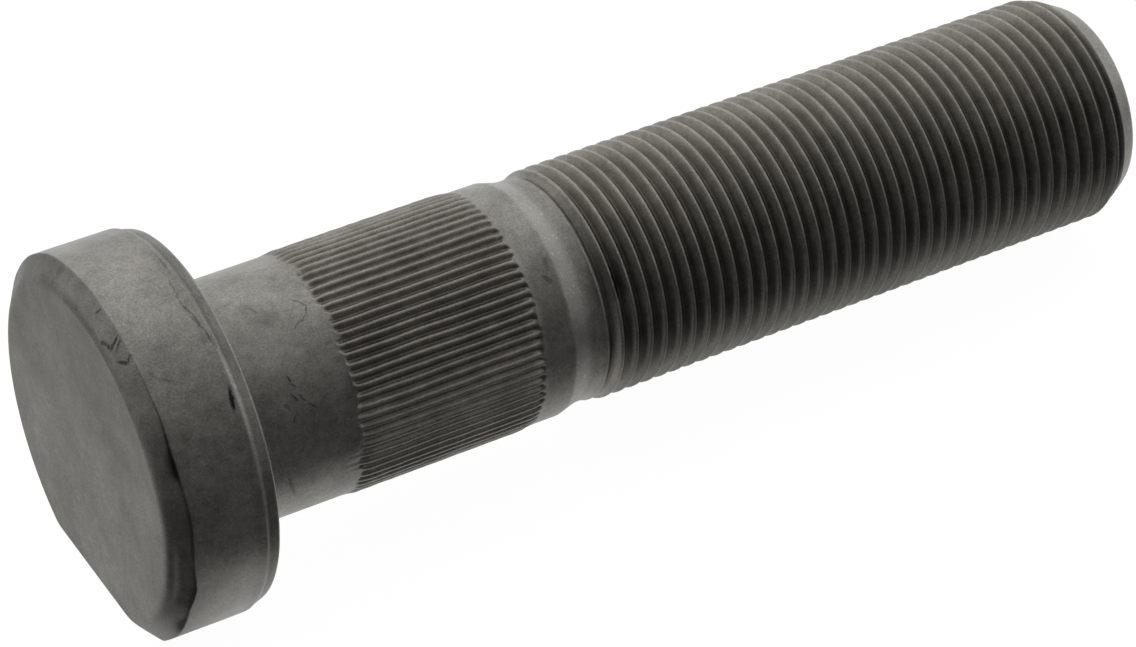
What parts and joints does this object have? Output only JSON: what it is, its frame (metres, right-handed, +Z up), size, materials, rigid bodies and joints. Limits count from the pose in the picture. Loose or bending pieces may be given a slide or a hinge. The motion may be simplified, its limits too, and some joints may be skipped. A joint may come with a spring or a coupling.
{
  "type": "wheel bolt",
  "caption": "Press-in wheel stud with a round head cut to one flat, a serrated shank, a relieved neck and a long fine-threaded end.",
  "frame": {"origin": "under the middle of the resting bolt, on the surface that it lies on", "axes": "+X along the bolt towards its threaded end, +Z up; the bolt's own axis slopes down by under two degrees towards +X"},
  "size_m": [0.1048, 0.035, 0.0314],
  "materials": {
    "phosphated_steel": "dark grey satin phosphate"
  },
  "bodies": {
    "root": {"wheel_bolt": "phosphated_steel"}
  },
  "joints": []
}
